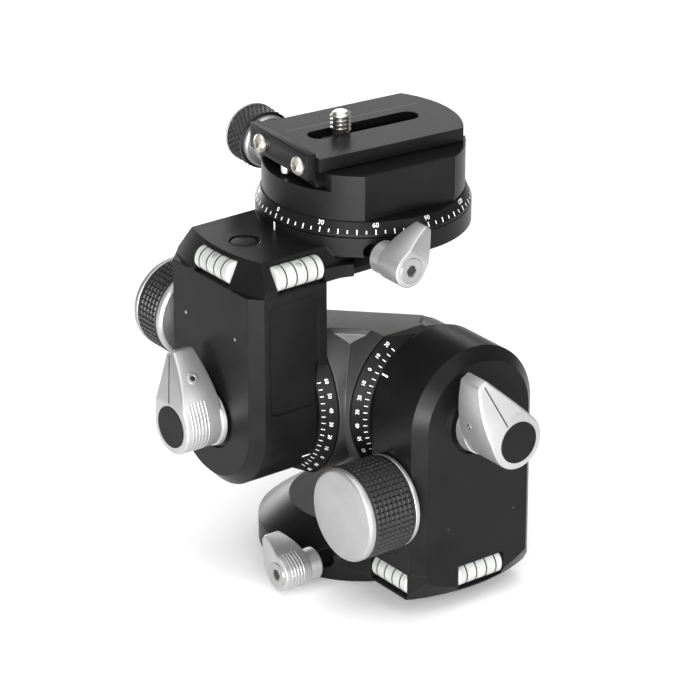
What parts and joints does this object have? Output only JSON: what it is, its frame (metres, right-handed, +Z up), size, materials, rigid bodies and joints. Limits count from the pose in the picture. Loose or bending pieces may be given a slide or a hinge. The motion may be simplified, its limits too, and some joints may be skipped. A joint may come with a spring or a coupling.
{
  "type": "geared tripod head",
  "caption": "Geared tripod head with crossed worm-driven tilt arms, a pan base, a top pan clamp and a sliding dovetail camera plate with a camera screw.",
  "frame": {"origin": "mouth of the tripod screw hole, at the centre of the underside of the foot", "axes": "+Z up along the base pan axis; +X along the lower tilt shaft towards its housing; -Y along the upper tilt shaft towards its housing"},
  "size_m": [0.1198, 0.1052, 0.1441],
  "materials": {
    "black_anodised": "satin black anodised",
    "grey_anodised": "satin grey anodised",
    "knob_black": "knurled matt black",
    "satin_silver": "satin bead blasted",
    "steel": "turned",
    "polished_steel": "polished",
    "bronze": "machined",
    "vial": "milky clear",
    "black_cap": "smooth black"
  },
  "bodies": {
    "foot": {"foot": "black_anodised", "foot_spindle": "steel", "spindle_nut": "bronze"},
    "lower": {"base_plate": "black_anodised", "housing_low": "black_anodised", "vials_low": "vial", "shaft_bush_low": "bronze", "worm_bush_low": "bronze", "plate_bolt_low": "steel", "plug_low": "black_anodised"},
    "foot_clamp": {"foot_lever": "satin_silver", "foot_lever_screw": "steel"},
    "worm_low": {"worm_low": "steel", "knob_collar_low": "satin_silver", "knob_grip_low": "knob_black", "knob_cap_low": "satin_silver"},
    "lock_low": {"lock_lever_low": "satin_silver", "lock_cap_low": "black_cap"},
    "cross": {"cross_block": "grey_anodised", "scale_ring_low": "black_anodised", "scale_ring_up": "black_anodised", "shaft_low": "steel", "shaft_up": "steel", "wheel_low": "bronze", "wheel_up": "bronze"},
    "upper": {"top_plate": "black_anodised", "housing_up": "black_anodised", "vials_up": "vial", "shaft_bush_up": "bronze", "worm_bush_up": "bronze", "plate_bolt_up": "steel", "plug_up": "black_anodised"},
    "worm_up": {"worm_up": "steel", "knob_collar_up": "satin_silver", "knob_grip_up": "knob_black", "knob_cap_up": "satin_silver"},
    "lock_up": {"lock_lever_up": "satin_silver", "lock_cap_up": "black_cap"},
    "pan_clamp": {"pan_lever": "satin_silver", "pan_lever_screw": "steel"},
    "pan": {"pan_disc": "black_anodised", "pan_spindle": "steel", "pan_nut": "bronze", "clamp_body": "black_anodised"},
    "jaw": {"jaw": "black_anodised"},
    "qr_knob": {"qr_screw": "steel", "qr_collar": "satin_silver", "qr_grip": "knob_black"},
    "plate": {"camera_plate": "black_anodised", "end_stop": "black_anodised", "stop_screws": "polished_steel"},
    "screw_seat": {"screw_washer": "steel"},
    "camera_screw": {"camera_screw": "polished_steel"}
  },
  "joints": [
    {"name": "base_pan", "type": "hinge", "parent": "foot", "child": "lower", "pos_m": [0, 0, 0.008], "axis": [0, 0, 1], "continuous": true},
    {"name": "base_clamp_turn", "type": "hinge", "parent": "lower", "child": "foot_clamp", "pos_m": [0.017, -0.0317, 0.0069], "axis": [0, -1, 0], "range_deg": [-35, 35]},
    {"name": "tilt_low", "type": "hinge", "parent": "lower", "child": "cross", "pos_m": [0, 0, 0.0595], "axis": [1, 0, 0], "range_deg": [-60, 20]},
    {"name": "worm_low_turn", "type": "hinge", "parent": "lower", "child": "worm_low", "pos_m": [0.0455, 0, 0.0375], "axis": [0, 1, 0], "range_deg": [-3660, 1260]},
    {"name": "lock_low_turn", "type": "hinge", "parent": "lower", "child": "lock_low", "pos_m": [0.0572, 0, 0.0611], "axis": [1, 0, 0], "range_deg": [-35, 35]},
    {"name": "tilt_up", "type": "hinge", "parent": "cross", "child": "upper", "pos_m": [0, 0, 0.0595], "axis": [0, 1, 0], "range_deg": [-60, 20]},
    {"name": "worm_up_turn", "type": "hinge", "parent": "upper", "child": "worm_up", "pos_m": [0, -0.0455, 0.0797], "axis": [-1, 0, 0], "range_deg": [-3300, 1140]},
    {"name": "lock_up_turn", "type": "hinge", "parent": "upper", "child": "lock_up", "pos_m": [0, -0.0572, 0.0579], "axis": [0, -1, 0], "range_deg": [-35, 35]},
    {"name": "pan_clamp_turn", "type": "hinge", "parent": "upper", "child": "pan_clamp", "pos_m": [0.0317, -0.017, 0.1101], "axis": [1, 0, 0], "range_deg": [-35, 35]},
    {"name": "top_pan", "type": "hinge", "parent": "upper", "child": "pan", "pos_m": [0, 0, 0.1145], "axis": [0, 0, 1], "range_deg": [-170, 110]},
    {"name": "jaw_slide", "type": "slide", "parent": "pan", "child": "jaw", "axis": [-0.9952, 0.0976, 0], "range_m": [0, 0.004]},
    {"name": "qr_turn", "type": "hinge", "parent": "jaw", "child": "qr_knob", "pos_m": [-0.04127, -0.01103, 0.1254], "axis": [-0.9952, 0.0976, 0], "range_deg": [-10, 1165]},
    {"name": "plate_slide", "type": "slide", "parent": "pan", "child": "plate", "axis": [0.0976, 0.9952, 0], "range_m": [-0.02, 0.0015]},
    {"name": "screw_slide", "type": "slide", "parent": "plate", "child": "screw_seat", "axis": [0.0976, 0.9952, 0], "range_m": [-0.007, 0.0225]},
    {"name": "screw_turn", "type": "hinge", "parent": "screw_seat", "child": "camera_screw", "pos_m": [-0.00078, -0.00796, 0.1345], "axis": [0, 0, 1], "continuous": true}
  ],
  "couplings": [
    {"joint": "worm_low_turn", "follows": "tilt_low", "ratio": 60},
    {"joint": "worm_up_turn", "follows": "tilt_up", "ratio": 54},
    {"joint": "qr_turn", "follows": "jaw_slide", "rad_per_m": 5026.5}
  ]
}
